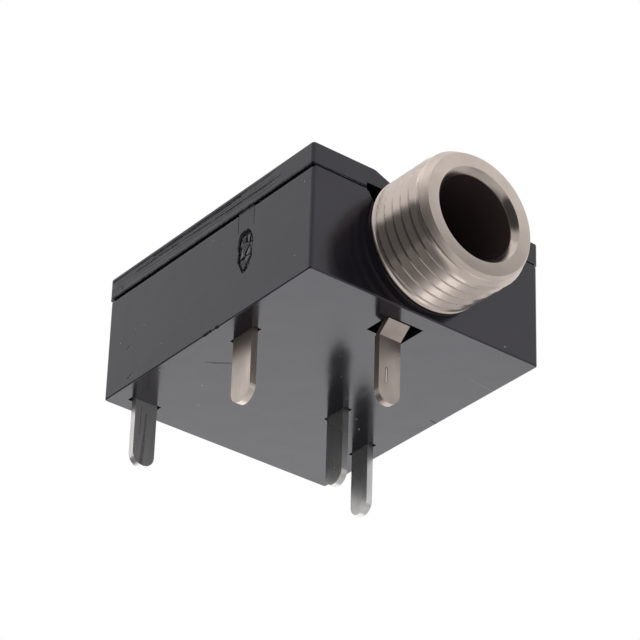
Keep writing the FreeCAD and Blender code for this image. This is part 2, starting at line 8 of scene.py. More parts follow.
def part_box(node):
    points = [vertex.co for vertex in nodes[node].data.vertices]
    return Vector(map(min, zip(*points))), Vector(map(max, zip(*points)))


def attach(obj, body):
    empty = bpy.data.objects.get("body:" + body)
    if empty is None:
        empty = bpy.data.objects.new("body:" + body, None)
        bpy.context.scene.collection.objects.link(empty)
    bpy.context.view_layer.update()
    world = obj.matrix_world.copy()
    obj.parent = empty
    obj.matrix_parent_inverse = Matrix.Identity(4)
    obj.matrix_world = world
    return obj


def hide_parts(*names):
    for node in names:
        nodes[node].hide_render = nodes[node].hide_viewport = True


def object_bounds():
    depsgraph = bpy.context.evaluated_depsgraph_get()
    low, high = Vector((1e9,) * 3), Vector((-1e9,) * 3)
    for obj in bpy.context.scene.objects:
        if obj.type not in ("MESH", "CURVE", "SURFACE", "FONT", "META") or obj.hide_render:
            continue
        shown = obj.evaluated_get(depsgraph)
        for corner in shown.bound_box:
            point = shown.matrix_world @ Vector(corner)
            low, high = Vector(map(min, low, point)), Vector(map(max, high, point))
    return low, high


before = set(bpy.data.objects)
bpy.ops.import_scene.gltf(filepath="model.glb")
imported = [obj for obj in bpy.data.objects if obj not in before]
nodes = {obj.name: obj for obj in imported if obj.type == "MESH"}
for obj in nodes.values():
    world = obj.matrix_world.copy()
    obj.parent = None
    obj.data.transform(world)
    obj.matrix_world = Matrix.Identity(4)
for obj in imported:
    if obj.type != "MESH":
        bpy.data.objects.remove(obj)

# Looks of a stereo jack socket: moulded case and lid, threaded nickel bush, tinned blades.
# Lengths are in metres, and MM turns the millimetres that are written here into them.

MM = 0.001
cad_low, cad_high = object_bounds()

case_low, case_high = (np.array(corner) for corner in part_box("housing"))
lid_high = np.array(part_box("lid")[1])
mouth_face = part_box("bush")[0][1]
front_face = case_low[1]
axis_height = 3.35 * MM

# The bush: the thread's crest falls by the chamfer over the lead's length at the mouth.
BORE_RADIUS = 1.85 * MM
CREST_RADIUS = 2.98 * MM
MOUTH_RADIUS = 2.1 * MM
THREAD_END = front_face - 0.03 * MM
LEAD_LENGTH = 0.6 * MM
CHAMFER = 0.33 * MM


def grid_faces(rows, columns, wrap=False):
    """Quads of a grid of points laid out row by row; wrap joins each row's end to its start."""
    row = np.arange(rows - 1)[:, None]
    column = np.arange(columns if wrap else columns - 1)[None, :]
    after = (column + 1) % columns
    corners = (row * columns + column, row * columns + after,
               (row + 1) * columns + after, (row + 1) * columns + column)
    return np.stack([np.broadcast_to(c, (rows - 1, column.size)) for c in corners],
                    -1).reshape(-1, 4)


def grid_points(x, y, z):
    """The points of a grid, one to a row: x, y and z are spread to one shape first."""
    return np.stack(np.broadcast_arrays(x, y, z), -1).reshape(-1, 3)


# Patterns that materials share

class Recipe:
    """A material's node tree, with short calls for the patterns that the finishes share."""

    def __init__(self, name):
        self.material = bpy.data.materials.new(name)
        self.material.use_nodes = True
        self.tree = self.material.node_tree
        self.shader = self.tree.nodes["Principled BSDF"]
        self.place = self.add("ShaderNodeTexCoord").outputs["Object"]

    def add(self, kind, **settings):
        node = self.tree.nodes.new(kind)
        for name, value in settings.items():
            setattr(node, name, value)
        return node

    def feed(self, socket, value):
        """Sets a socket to a constant or joins it to another node's output."""
        if isinstance(value, bpy.types.NodeSocket):
            self.tree.links.new(value, socket)
        else:
            socket.default_value = value

    def math(self, operation, *values):
        node = self.add("ShaderNodeMath", operation=operation)
        for socket, value in zip(node.inputs, values):
            self.feed(socket, value)
        return node.outputs[0]

    def vector(self, operation, first, second=None, output="Vector"):
        node = self.add("ShaderNodeVectorMath", operation=operation)
        self.feed(node.inputs[0], first)
        if second is not None:
            self.feed(node.inputs["Scale"] if operation == "SCALE" else node.inputs[1], second)
        return node.outputs[output]

    def stretched(self, scale, turn=(0.0, 0.0, 0.0)):
        """Object coordinates, turned and stretched: scale is in repeats a millimetre."""
        node = self.add("ShaderNodeMapping")
        self.feed(node.inputs["Vector"], self.place)
        node.inputs["Rotation"].default_value = [math.radians(angle) for angle in turn]
        node.inputs["Scale"].default_value = [repeats / MM for repeats in scale]
        return node.outputs[0]

    def noise(self, scale, detail=3.0, rough=0.55, turn=(0.0, 0.0, 0.0)):
        node = self.add("ShaderNodeTexNoise")
        self.feed(node.inputs["Vector"], self.stretched(scale, turn))
        node.inputs["Scale"].default_value = 1.0
        node.inputs["Detail"].default_value = detail
        node.inputs["Roughness"].default_value = rough
        return node.outputs["Fac"]

    def ramp(self, value, low, high, to_low=0.0, to_high=1.0, smooth=False):
        """Maps the range low to high onto to_low to to_high, and holds it there."""
        node = self.add("ShaderNodeMapRange")
        node.interpolation_type = "SMOOTHSTEP" if smooth else "LINEAR"
        self.feed(node.inputs["Value"], value)
        for name, number in (("From Min", low), ("From Max", high),
                             ("To Min", to_low), ("To Max", to_high)):
            node.inputs[name].default_value = number
        return node.outputs[0]

    def mix(self, share, first, second):
        node = self.add("ShaderNodeMix", data_type="RGBA")
        self.feed(node.inputs["Factor"], share)
        self.feed(node.inputs["A"], first)
        self.feed(node.inputs["B"], second)
        return node.outputs["Result"]

    def bump(self, height, depth, normal=None):
        """A height pattern from 0 to 1 as relief of the given depth in millimetres."""
        node = self.add("ShaderNodeBump")
        node.inputs["Strength"].default_value = 1.0
        node.inputs["Distance"].default_value = depth * MM
        self.feed(node.inputs["Height"], height)
        if normal is not None:
            self.feed(node.inputs["Normal"], normal)
        return node.outputs["Normal"]

    def specks(self, spacing, size, share):
        """Round specks of dust: a share of the cells of a Voronoi pattern hold one each."""
        node = self.add("ShaderNodeTexVoronoi")
        self.feed(node.inputs["Vector"], self.stretched((1 / spacing,) * 3))
        node.inputs["Scale"].default_value = 1.0
        near = self.ramp(node.outputs["Distance"], size / spacing, 0.4 * size / spacing)
        parts = self.add("ShaderNodeSeparateColor")
        self.feed(parts.inputs[0], node.outputs["Color"])
        chosen = self.math("LESS_THAN", parts.outputs[0], share)
        return self.math("MULTIPLY", near, chosen)

    def stroke(self, start, end, width):
        """A soft mark along the line between two points, in millimetres: 1 on the line."""
        start, end = Vector(start) * MM, Vector(end) * MM
        line = end - start
        offset = self.vector("SUBTRACT", self.place, start)
        share = self.vector("DOT_PRODUCT", offset, line / line.length_squared, "Value")
        along = self.vector("SCALE", line, self.ramp(share, 0.0, 1.0))
        away = self.vector("DISTANCE", offset, along, "Value")
        return self.ramp(away, width * MM, 0.3 * width * MM, smooth=True)

    def strokes(self, marks, ragged):
        """Several strokes together. Ragged is how much of them noise wears off in places."""
        total = 0.0
        for mark in marks:
            total = self.math("MAXIMUM", total, self.stroke(*mark))
        broken = self.ramp(self.noise((5.0, 5.0, 5.0), 3.0, 0.7), 0.38, 0.55, 1.0 - ragged, 1.0)
        return self.math("MULTIPLY", total, broken)

    def finish(self, normal=None, **sockets):
        for name, value in sockets.items():
            self.feed(self.shader.inputs[name.replace("_", " ")], value)
        if normal is not None:
            self.feed(self.shader.inputs["Normal"], normal)
        return self.material


# Stage, camera and light

# The photo's camera: focal length over the picture's width, angles in degrees, and the point
# that the middle of the picture looks at.
FOCUS_PIXELS = 3008.5
PHOTO_WIDTH = 640
PHOTO_FOCUS = FOCUS_PIXELS / PHOTO_WIDTH
PHOTO_AZIMUTH = -37.332
PHOTO_ELEVATION = -30.773
PHOTO_ROLL = 1.825
PHOTO_DISTANCE = 138.98 * MM
PHOTO_TARGET = Vector((6.918, 9.075, 9.870)) * MM
SENSOR = 36.0


def make_camera():
    """The photo's camera: it stands below the board's side, to the left of the plug's mouth."""
    turn, rise, roll = (math.radians(v) for v in (PHOTO_AZIMUTH, PHOTO_ELEVATION, PHOTO_ROLL))
    back = Vector((math.sin(turn) * math.cos(rise), -math.cos(turn) * math.cos(rise),
                   math.sin(rise)))
    level = (-back).cross(Vector((0, 0, 1))).normalized()
    upward = level.cross(-back)
    right = math.cos(roll) * level + math.sin(roll) * upward
    up = -math.sin(roll) * level + math.cos(roll) * upward
    data = bpy.data.cameras.new("photo_camera")
    data.sensor_width = SENSOR
    data.lens = PHOTO_FOCUS * SENSOR
    data.clip_start, data.clip_end = 5 * MM, 5000 * MM
    camera = bpy.data.objects.new("photo_camera", data)
    bpy.context.scene.collection.objects.link(camera)
    place = Matrix.Translation(PHOTO_TARGET + back * PHOTO_DISTANCE)
    camera.matrix_world = place @ Matrix((right, up, back)).transposed().to_4x4()
    bpy.context.scene.camera = camera


def soft_lamp(name, towards, distance, width, radiance):
    """A square soft box that faces the object. Towards points from the object to the lamp."""
    data = bpy.data.lights.new(name, "AREA")
    data.shape = "SQUARE"
    data.size = width
    data.energy = radiance * math.pi * width * width
    lamp = bpy.data.objects.new(name, data)
    bpy.context.scene.collection.objects.link(lamp)
    direction = Vector(towards).normalized()
    lamp.location = direction * distance
    lamp.rotation_euler = direction.to_track_quat("Z", "Y").to_euler()


def largest(tree, *values):
    """The largest of several shader values."""
    total = values[0]
    for value in values[1:]:
        node = tree.nodes.new("ShaderNodeMath")
        node.operation = "MAXIMUM"
        tree.links.new(total, node.inputs[0])
        tree.links.new(value, node.inputs[1])
        total = node.outputs[0]
    return total


def blend(tree, share, first, second, end):
    """Mixes two shaders by a share and joins the mix to the surface of the end node."""
    mix = tree.nodes.new("ShaderNodeMixShader")
    for socket, value in zip(mix.inputs, (share, first, second)):
        tree.links.new(value, socket)
    tree.links.new(mix.outputs[0], tree.nodes[end].inputs["Surface"])


WORLD_LIGHT = 0.85
FLOOR_REACH = 400 * MM


def make_world():
    """A plain pale surround, and plain white where a camera, mirror or see-through ray meets
    it."""
    world = bpy.data.worlds.new("surround")
    bpy.context.scene.world = world
    world.use_nodes = True
    tree = world.node_tree
    light = tree.nodes["Background"]
    light.inputs["Color"].default_value = (1, 1, 1, 1)
    light.inputs["Strength"].default_value = WORLD_LIGHT
    white = tree.nodes.new("ShaderNodeBackground")
    white.inputs["Color"].default_value = (1, 1, 1, 1)
    white.inputs["Strength"].default_value = 1.0
    path = tree.nodes.new("ShaderNodeLightPath")
    seen = largest(tree, path.outputs["Is Camera Ray"], path.outputs["Is Glossy Ray"],
                   path.outputs["Is Transmission Ray"])
    blend(tree, seen, light.outputs[0], white.outputs[0], "World Output")


def make_floor():
    """A pale floor under the blades' tips. It shows from above only, so that the photo's
    camera, which is lower than the floor, sees the underside."""
    side = np.array([-FLOOR_REACH, FLOOR_REACH])
    points = grid_points(side[None, :], side[:, None], cad_low[2])
    mesh = bpy.data.meshes.new("floor")
    mesh.from_pydata(points.tolist(), [], grid_faces(2, 2).tolist())
    floor = bpy.data.objects.new("floor", mesh)
    bpy.context.scene.collection.objects.link(floor)
    material = bpy.data.materials.new("pale_floor")
    material.use_nodes = True
    tree = material.node_tree
    shader = tree.nodes["Principled BSDF"]
    shader.inputs["Base Color"].default_value = (0.86, 0.86, 0.86, 1)
    shader.inputs["Roughness"].default_value = 0.9
    clear = tree.nodes.new("ShaderNodeBsdfTransparent")
    below = tree.nodes.new("ShaderNodeNewGeometry").outputs["Backfacing"]
    shadow = tree.nodes.new("ShaderNodeLightPath").outputs["Is Shadow Ray"]
    blend(tree, largest(tree, below, shadow), shader.outputs[0], clear.outputs[0],
          "Material Output")
    floor.data.materials.append(material)
    floor.visible_diffuse = False
    floor.visible_glossy = False


SCREEN_RADIUS = 230 * MM
SCREEN_ROWS, SCREEN_COLUMNS = 48, 90
# The angles in degrees that the screen covers round the object, from the mouth's side, and up.
SCREEN_TURNS = (-175, 175)
SCREEN_RISES = (-89, 55)
# Dark parts of the room as the bright metal mirrors them: the way to each one's middle, the
# angles in degrees from there where it begins to fade and where it ends, and its darkness.
ROOM_SHADES = [((-0.76, -0.64, -0.05), 27, 37, 0.93),
               ((-0.98, 0.00, -0.10), 25, 37, 0.89),
               ((-0.62, -0.05, -0.78), 10, 50, 0.80),
               ((0.50, -0.45, -0.74), 18, 32, 0.15),
               ((0.80, 0.20, -0.56), 14, 30, 0.30),
               ((-0.545, 0.644, -0.537), 18, 32, 0.88),
               ((0.56, -0.74, -0.40), 10, 20, 0.36)]


def make_mirror_screen():
    """A part of a sphere round the object that only mirror rays meet, by an angle round the
    object and one above its level. It is as white as the surround, with soft dark shades where
    the room was dark."""
    turn = np.radians(np.linspace(*SCREEN_TURNS, SCREEN_COLUMNS))[None, :]
    rise = np.radians(np.linspace(*SCREEN_RISES, SCREEN_ROWS))[:, None]
    points = SCREEN_RADIUS * grid_points(-np.sin(turn) * np.cos(rise),
                                         -np.cos(turn) * np.cos(rise), np.sin(rise))
    mesh = bpy.data.meshes.new("mirror_screen")
    mesh.from_pydata(points.tolist(), [], grid_faces(SCREEN_ROWS, SCREEN_COLUMNS).tolist())
    screen = bpy.data.objects.new("mirror_screen", mesh)
    bpy.context.scene.collection.objects.link(screen)
    recipe = Recipe("mirror_screen")
    way = recipe.vector("NORMALIZE", recipe.place)
    light = 1.0
    for middle, fade, end, darkness in ROOM_SHADES:
        near = recipe.vector("DOT_PRODUCT", way, Vector(middle).normalized(), "Value")
        shade = recipe.ramp(near, math.cos(math.radians(end)), math.cos(math.radians(fade)),
                            1.0, 1.0 - darkness, smooth=True)
        light = recipe.math("MINIMUM", light, shade)
    screen.data.materials.append(recipe.finish(
        Base_Color=(0, 0, 0, 1), Specular_IOR_Level=0.0, Emission_Color=(1, 1, 1, 1),
        Emission_Strength=light))
    for kind in ("camera", "diffuse", "shadow", "transmission", "volume_scatter"):
        setattr(screen, "visible_" + kind, False)


make_camera()
make_world()
make_floor()
soft_lamp("rear_lamp", (0.52, 0.74, -0.43), distance=150 * MM, width=120 * MM, radiance=0.88)
soft_lamp("low_lamp", (0.26, 0.04, -0.965), distance=150 * MM, width=50 * MM, radiance=0.6)
soft_lamp("top_lamp", (-0.3, -0.2, 0.95), distance=180 * MM, width=120 * MM, radiance=0.6)
make_mirror_screen()


# Materials

def cool(value):
    """The black plastic's tone, which leans to violet."""
    return (value * 1.1, value * 0.95, value * 1.4, 1.0)


def warm(value):
    """The slightly brown grey of the plated metal."""
    return (value * 1.16, value, value * 0.9, 1.0)


def neutral(value):
    """The plain grey of the blades whose plating has no warm tone."""
    return (value * 1.02, value, value * 0.99, 1.0)


# Marks on the plastic, long ones along its edges among them, and the painted shadow under the
# lid's lower edge in the joint along the left side, in both lists: start and end of each in
# millimetres, and the breadth to each side.
CASE_MARKS_AND_SHADOW = [((-4.61, 1.60, 0.0), (-3.60, 0.86, 0.0), 0.032),
              ((-4.35, 1.50, 0.0), (-3.10, 0.58, 0.0), 0.018),
              ((-5.9, 5.27, 0.33), (-5.9, 4.95, 0.45), 0.055),
              ((-5.9, 5.48, 1.80), (-5.9, 5.30, 1.90), 0.05),
              ((-5.88, -0.05, 0.02), (-5.9, -0.55, 0.03), 0.07),
              ((-5.88, -0.90, 0.03), (-5.9, -1.05, 0.03), 0.09),
              ((-5.9, -3.0, 0.0), (-5.9, 6.2, 0.0), 0.03),
              ((-0.52, 6.96, 0.02), (-0.40, 7.0, 0.02), 0.06),
              ((5.49, -0.71, 0.0), (5.88, -0.62, 0.0), 0.05),
              ((5.9, -7.0, 0.0), (5.9, 5.0, 0.0), 0.035),
              ((5.9, -7.0, 0.0), (5.9, -7.0, 4.6), 0.03),
              # Painted shadow under the lid's lower edge, in the joint.
              ((-5.93, -7.0, 4.80), (-5.93, 7.0, 4.80), 0.165)]
# The first of the lid's marks is the same painted shadow in the joint.
LID_MARKS_AND_SHADOW = [((-5.93, -7.0, 4.80), (-5.93, 7.0, 4.80), 0.165),
             ((-5.9, -7.0, 4.84), (-3.0, -7.0, 4.86), 0.09),
             ((-5.92, -4.94, 5.29), (-5.92, -0.70, 5.36), 0.045),
             ((-5.92, -0.70, 5.36), (-5.92, 4.04, 5.52), 0.04),
             ((-5.92, -2.20, 5.62), (-5.92, 3.90, 5.65), 0.055),
             ((-5.92, -4.53, 5.91), (-5.92, -2.87, 6.01), 0.04),
             ((-5.92, 2.25, 5.42), (-5.92, 5.15, 5.47), 0.035),
             ((-5.92, 6.10, 5.02), (-5.92, 6.11, 5.18), 0.05),
             ((-5.92, 4.38, 5.30), (-5.92, 4.38, 5.56), 0.04)]
CASE_DUST = [((-0.72, -2.38, 0.0), (-0.71, -2.37, 0.0), 0.03),
             ((0.34, -1.12, 0.0), (0.35, -1.11, 0.0), 0.028),
             ((3.06, 1.29, 0.0), (3.09, 1.27, 0.0), 0.034),
             ((3.70, 1.90, 0.0), (3.73, 1.92, 0.0), 0.034),
             ((-3.58, 3.26, 0.0), (-3.56, 3.22, 0.0), 0.025),
             ((-2.69, 4.70, 0.0), (-2.68, 4.69, 0.0), 0.03),
             ((-5.65, 3.38, 0.0), (-5.60, 3.36, 0.0), 0.025),
             ((4.10, -7.0, 0.25), (4.11, -7.0, 0.27), 0.035)]
CASE_HAIRLINES = [((4.30, -4.40, 0.0), (5.85, -4.26, 0.0), 0.016)]
CASE_SCUFFS = [((1.70, 0.10, 0.0), (2.15, -1.05, 0.0), 0.30)]
DUST = (0.5, 0.5, 0.5, 1.0)


def moulded_plastic(name, base, roughness, dark_marks_and_shadow, pale_marks=()):
    """Black moulding: smudged gloss, faint flow marks, small scratches and specks of dust. Dark
    marks take the gloss's strength away, and one of them is the painted shadow in the joint. Pale
    marks come in groups: the marks, how ragged they are, and their strength."""
    recipe = Recipe(name)
    smudge = recipe.noise((0.32, 0.32, 0.32), 4.0, 0.6)
    flow = recipe.noise((0.5, 0.12, 0.5), 3.0, 0.5, (0.0, 0.0, 25.0))
    grain = recipe.noise((9.0, 9.0, 9.0), 2.0, 0.5)
    # The marks and the joint's painted shadow, which dull the gloss below.
    dark = recipe.strokes(dark_marks_and_shadow, 0.5)
    pale = 0.0
    for marks, ragged, strength in pale_marks:
        marked = recipe.math("MULTIPLY", recipe.strokes(marks, ragged), strength)
        pale = recipe.math("MAXIMUM", pale, marked)
    dust = recipe.math("MAXIMUM", recipe.specks(0.85, 0.03, 0.16), pale)
    tone = recipe.mix(recipe.ramp(flow, 0.35, 0.7), cool(base * 0.75), cool(base * 1.2))
    tone = recipe.mix(recipe.math("MULTIPLY", dust, 0.75), tone, DUST)
    gloss = recipe.ramp(smudge, 0.3, 0.72, roughness - 0.03, roughness + 0.05)
    relief = recipe.bump(recipe.noise((0.6, 0.6, 0.6), 2.0, 0.4), 0.014)
    relief = recipe.bump(grain, 0.0006, relief)
    relief = recipe.bump(dark, -0.02, relief)
    return recipe.finish(relief, Base_Color=tone, Roughness=gloss, IOR=1.5,
                         Specular_IOR_Level=recipe.ramp(dark, 0.0, 1.0, 0.51, 0.1),
                         Specular_Tint=(0.94, 0.90, 1.0, 1.0))


# Dark streaks on the blades, and the bright ridge on the sleeve terminal's blade, written like
# the plastic's marks.
STREAKS = [((-4.44, 5.92, -0.60), (-4.50, 5.92, -1.90), 0.07),
           ((-4.50, 5.92, -1.90), (-4.56, 5.92, -2.90), 0.12),
           ((-4.70, 5.92, -0.30), (-4.72, 5.92, -1.60), 0.03),
           ((4.60, 3.40, -0.5), (4.62, 3.45, -1.4), 0.04)]
SLEEVE_RIDGE = ((-0.80, -5.47, -1.95), (-0.80, -5.47, -2.56), 0.07)


def tinned_strip(name, base, shade=warm, roughness=0.27, ridge=None):
    """Plated strip: faint rolling lines down the blade, dull patches and dark streaks. A ridge is
    a short stroke that stands proud of the strip, worn bright."""
    recipe = Recipe(name)
    lines = recipe.noise((5.0, 5.0, 0.4), 2.0, 0.5)
    cloud = recipe.noise((0.9, 0.9, 0.7), 1.0, 0.5)
    tone = recipe.mix(recipe.ramp(cloud, 0.32, 0.7), shade(base * 0.82), shade(base * 1.03))
    tone = recipe.mix(recipe.ramp(lines, 0.5, 0.75, 0.0, 0.25), tone, shade(base * 0.6))
    tone = recipe.mix(recipe.math("MULTIPLY", recipe.strokes(STREAKS, 0.4), 0.7), tone,
                      shade(base * 0.25))
    gloss = recipe.ramp(cloud, 0.3, 0.7, roughness + 0.1, roughness - 0.04)
    relief = recipe.bump(lines, 0.0015)
    if ridge is not None:
        raised = recipe.stroke(*ridge)
        relief = recipe.bump(raised, 0.08, relief)
        tone = recipe.mix(recipe.math("MULTIPLY", raised, 0.6), tone, shade(0.75))
    return recipe.finish(relief, Base_Color=tone, Metallic=0.87, Roughness=gloss)


# The bush: the painted shade in the bore, and a brown speck on the mouth's edge.
BORE_SHADE = (0.032, 0.022, 0.021, 1.0)
SPECK_TONE = (0.16, 0.10, 0.04, 1.0)
SPECK = ((1.86, -9.93, 2.70), (1.87, -9.88, 2.86), 0.09)
# The radii past which the mouth's edge is dull and painted shade darkens the roots, how far along
# the dull part begins to fade and ends, the heights between which painted shade darkens the
# mouth's face, the depths between which it darkens a root, and the step in which the limits
# between tones are given.
MOUTH_LAND = 2.65 * MM
ROOT_SHADE_START = 2.5 * MM
DULL_FADE = (0.25 * MM, 0.5 * MM)
FACE_SHADE_HEIGHTS = (0.8 * MM, 4.5 * MM)
ROOT_SHADE_DEPTHS = (0.10 * MM, 0.17 * MM)
EDGE = 0.01 * MM


def turned_nickel(name, base, roughness):
    """Turned and plated bush: fine rings round the axis and clouded plating. Painted shade
    darkens the bore, the cone in front of it, the foot of the mouth's face, the thread's roots
    and the part inside the case, and the thread's lead is duller."""
    recipe = Recipe(name)
    rings = recipe.noise((0.3, 16.0, 0.3), 3.0, 0.7)
    cloud = recipe.noise((1.1, 1.1, 1.1), 4.0, 0.6)
    parts = recipe.add("ShaderNodeSeparateXYZ")
    recipe.feed(parts.inputs[0], recipe.place)
    along, height = parts.outputs["Y"], parts.outputs["Z"]
    across = recipe.vector("MULTIPLY", recipe.place, (1, 0, 1))
    radius = recipe.vector("DISTANCE", across, (0, 0, axis_height), "Value")

    tone = recipe.mix(recipe.ramp(cloud, 0.3, 0.72), warm(base * 0.9), warm(base))
    # Painted shade on the cone in front of the bore.
    cone = recipe.ramp(radius, MOUTH_RADIUS + EDGE, MOUTH_RADIUS - EDGE, 0.0, 0.3)
    tone = recipe.mix(cone, tone, warm(0.0))
    # Painted shade in the bore: a dark tone, with the metal taken away below.
    bore = recipe.ramp(radius, BORE_RADIUS + 3 * EDGE, BORE_RADIUS + EDGE)
    tone = recipe.mix(bore, tone, BORE_SHADE)
    tone = recipe.mix(recipe.stroke(*SPECK), tone, SPECK_TONE)
    # Painted shade on the mouth's face, darker towards its foot.
    face = recipe.ramp(along, mouth_face + 3 * EDGE, mouth_face + EDGE)
    foot = recipe.ramp(height, FACE_SHADE_HEIGHTS[1], FACE_SHADE_HEIGHTS[0], 0.0, 0.45)
    tone = recipe.mix(recipe.math("MULTIPLY", face, foot), tone, warm(0.0))
    # Painted shade on the part of the bush inside the case.
    inside = recipe.ramp(along, THREAD_END, THREAD_END + EDGE)
    tone = recipe.mix(inside, tone, warm(0.02))

    # Painted shade in the thread's roots, darker the deeper the groove.
    crest = recipe.ramp(along, mouth_face, mouth_face + LEAD_LENGTH,
                        CREST_RADIUS - CHAMFER, CREST_RADIUS)
    root = recipe.ramp(recipe.math("SUBTRACT", crest, radius), *ROOT_SHADE_DEPTHS, 0.0, 0.55)
    for limit in (recipe.ramp(radius, ROOT_SHADE_START, ROOT_SHADE_START + 5 * EDGE),
                  recipe.ramp(along, mouth_face + 5 * EDGE, mouth_face + 10 * EDGE)):
        root = recipe.math("MULTIPLY", root, limit)
    tone = recipe.mix(root, tone, warm(0.03))

    lead = recipe.ramp(along, mouth_face + DULL_FADE[1], mouth_face + DULL_FADE[0], 0.0, 0.22)
    lead = recipe.math("MULTIPLY", lead,
                       recipe.ramp(radius, MOUTH_LAND - 2 * EDGE, MOUTH_LAND + 2 * EDGE))
    gloss = recipe.ramp(cloud, 0.3, 0.7, roughness + 0.06, roughness - 0.03)
    # The bore's painted shade is not metal.
    metal = recipe.math("MULTIPLY", recipe.math("SUBTRACT", 1.0, bore), 0.96)
    return recipe.finish(recipe.bump(rings, 0.003), Base_Color=tone, Metallic=metal,
                         Roughness=recipe.math("ADD", gloss, lead))


case_plastic = moulded_plastic("case_plastic", base=0.007, roughness=0.16,
                               dark_marks_and_shadow=CASE_MARKS_AND_SHADOW,
                               pale_marks=((CASE_DUST, 0.3, 1.0), (CASE_HAIRLINES, 0.6, 0.25),
                                           (CASE_SCUFFS, 0.9, 0.05)))
lid_plastic = moulded_plastic("lid_plastic", base=0.007, roughness=0.26, dark_marks_and_shadow=LID_MARKS_AND_SHADOW)

# A strip for each blade, and one for both springs. Their warmth is the plating's own, and their
# brightness is partly painted light and shade, set for each blade to the light that it mirrors.
terminal_strip = tinned_strip("terminal_strip", 0.48)
sleeve_strip = tinned_strip("sleeve_strip", 0.32, ridge=SLEEVE_RIDGE)
ring_strip = tinned_strip("ring_strip", 0.66, neutral)
tip_strip = tinned_strip("tip_strip", 0.52, neutral)
tip_switch_strip = tinned_strip("tip_switch_strip", 0.48, neutral)
spring_strip = tinned_strip("spring_strip", 0.40, roughness=0.24)

bush_nickel = turned_nickel("bush_nickel", base=0.475, roughness=0.17)


# Pieces

def add_piece(name, points, faces, material, body):
    """A smooth piece at the origin, riding on a body and finished like a slot of the record."""
    mesh = bpy.data.meshes.new(name)
    mesh.from_pydata(points.tolist(), [], faces.tolist())
    mesh.polygons.foreach_set("use_smooth", [True] * len(mesh.polygons))
    mesh.materials.append(material)
    mesh.validate()
    piece = bpy.data.objects.new(name, mesh)
    bpy.context.scene.collection.objects.link(piece)
    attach(piece, body)
    return piece


def smooth_step(value, low, high):
    """0 below low, 1 above high, and an even S between them."""
    share = np.clip((value - low) / (high - low), 0, 1)
    return share * share * (3 - 2 * share)


THREAD_PITCH = 0.5 * MM
THREAD_PHASE = 0.735
# Along one pitch, from one crest to the next: the shares where the thread's profile turns, and
# its depth in millimetres there.
THREAD_TURNS = [0.0, 0.58, 0.70, 0.78, 1.0]
THREAD_DROPS = [0.0, 0.125, 0.18, 0.175, 0.0]
# How far from the mouth the thread begins and is full, and from its end it is full and ends.
FADE_IN = (0.10 * MM, 0.45 * MM)
FADE_OUT = (0.14 * MM, 0.05 * MM)
LEAD_POWER = 1.7
THREAD_ROWS, THREAD_COLUMNS = 300, 288
MOUTH_DEPTH = 0.3 * MM


def make_threaded_bush():
    """The bush as one skin: a profile carried round the plug's axis, with a worn helical thread.
    The phase is the distance along the axis over the pitch, less the turn round the axis. Over
    each pitch the radius falls gently from the crest's, then steeply, and then it climbs back.
    Near the mouth the crest falls off by a power of the distance."""
    journal, neck, flange = 2.65 * MM, 2.40 * MM, 2.85 * MM
    journal_end = front_face + 0.57 * MM
    flange_start, flange_end = front_face + 2.3 * MM, front_face + 2.9 * MM
    ease = 0.03 * MM
    inside = [(flange_end, BORE_RADIUS), (mouth_face + MOUTH_DEPTH + ease, BORE_RADIUS),
              (mouth_face + MOUTH_DEPTH - ease, BORE_RADIUS + ease),
              (mouth_face + ease, MOUTH_RADIUS - ease / 2), (mouth_face, MOUTH_RADIUS + ease),
              (mouth_face, CREST_RADIUS - CHAMFER - ease)]
    thread_y = np.linspace(mouth_face + ease / 2, THREAD_END, THREAD_ROWS)
    lead = np.clip(1 - (thread_y - mouth_face) / LEAD_LENGTH, 0, 1) ** LEAD_POWER
    outside = [(THREAD_END, journal), (journal_end, journal), (journal_end, neck),
               (flange_start, neck), (flange_start, flange), (flange_end, flange),
               (flange_end, BORE_RADIUS)]
    along = np.concatenate([[y for y, _ in inside], thread_y, [y for y, _ in outside]])
    plain = np.concatenate([[radius for _, radius in inside], CREST_RADIUS - CHAMFER * lead,
                            [radius for _, radius in outside]])
    threaded = np.concatenate([np.zeros(len(inside)), np.ones(THREAD_ROWS),
                               np.zeros(len(outside))])
    y = along[:, None]
    angle = np.linspace(0, 2 * np.pi, THREAD_COLUMNS, endpoint=False)[None, :]
    phase = ((y - front_face) / -THREAD_PITCH + THREAD_PHASE - angle / (2 * np.pi)) % 1.0
    drop = np.interp(phase, THREAD_TURNS, THREAD_DROPS) * MM
    fade = smooth_step(y, mouth_face + FADE_IN[0], mouth_face + FADE_IN[1])
    fade = fade * smooth_step(-y, -THREAD_END + FADE_OUT[1], -THREAD_END + FADE_OUT[0])
    radius = plain[:, None] - drop * fade * threaded[:, None]
    points = grid_points(radius * np.cos(angle), y, axis_height + radius * np.sin(angle))
    faces = grid_faces(len(along), THREAD_COLUMNS, wrap=True)
    bush = add_piece("threaded_bush", points, faces, bush_nickel, "socket")
    bush.data.set_sharp_from_angle(angle=math.radians(35))
    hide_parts("bush")


# How far, in millimetres, a relief's shallowest parts lie under the face that it is set into.
SKIN = 0.001


def wander(place, seed, longest):
    """A slow random line of about -1 to 1: five sines, each about half as long as the last."""
    random = np.random.default_rng(seed)
    total = np.zeros_like(place)
    for wave in range(5):
        turn = place * 1.9 ** wave / longest + random.uniform()
        total += np.sin(2 * np.pi * turn) / 1.6 ** wave
    return total / 2


BAND_START = front_face + 1.5 * MM
BAND_LOW = lid_high[2] - 0.97 * MM
BAND_HIGH = lid_high[2] - 0.16 * MM
BAND_DEPTH = 0.066 * MM
BAND_ROWS, BAND_COLUMNS = 84, 460
LID_CORNER = 0.15 * MM
CORNER_OVERLAP = 0.127 * MM
# Torn ridges of the band, in millimetres: the lowest one's height over the band's foot, the step
# from one to the next, how far each wanders, and how fast it falls away above and below.
RIDGES = 9
RIDGE_FOOT, RIDGE_STEP, RIDGE_SWAY = 0.14, 0.08, 0.03
RIDGE_ABOVE, RIDGE_BELOW = 0.08, 0.012
BAND_SEED = 11


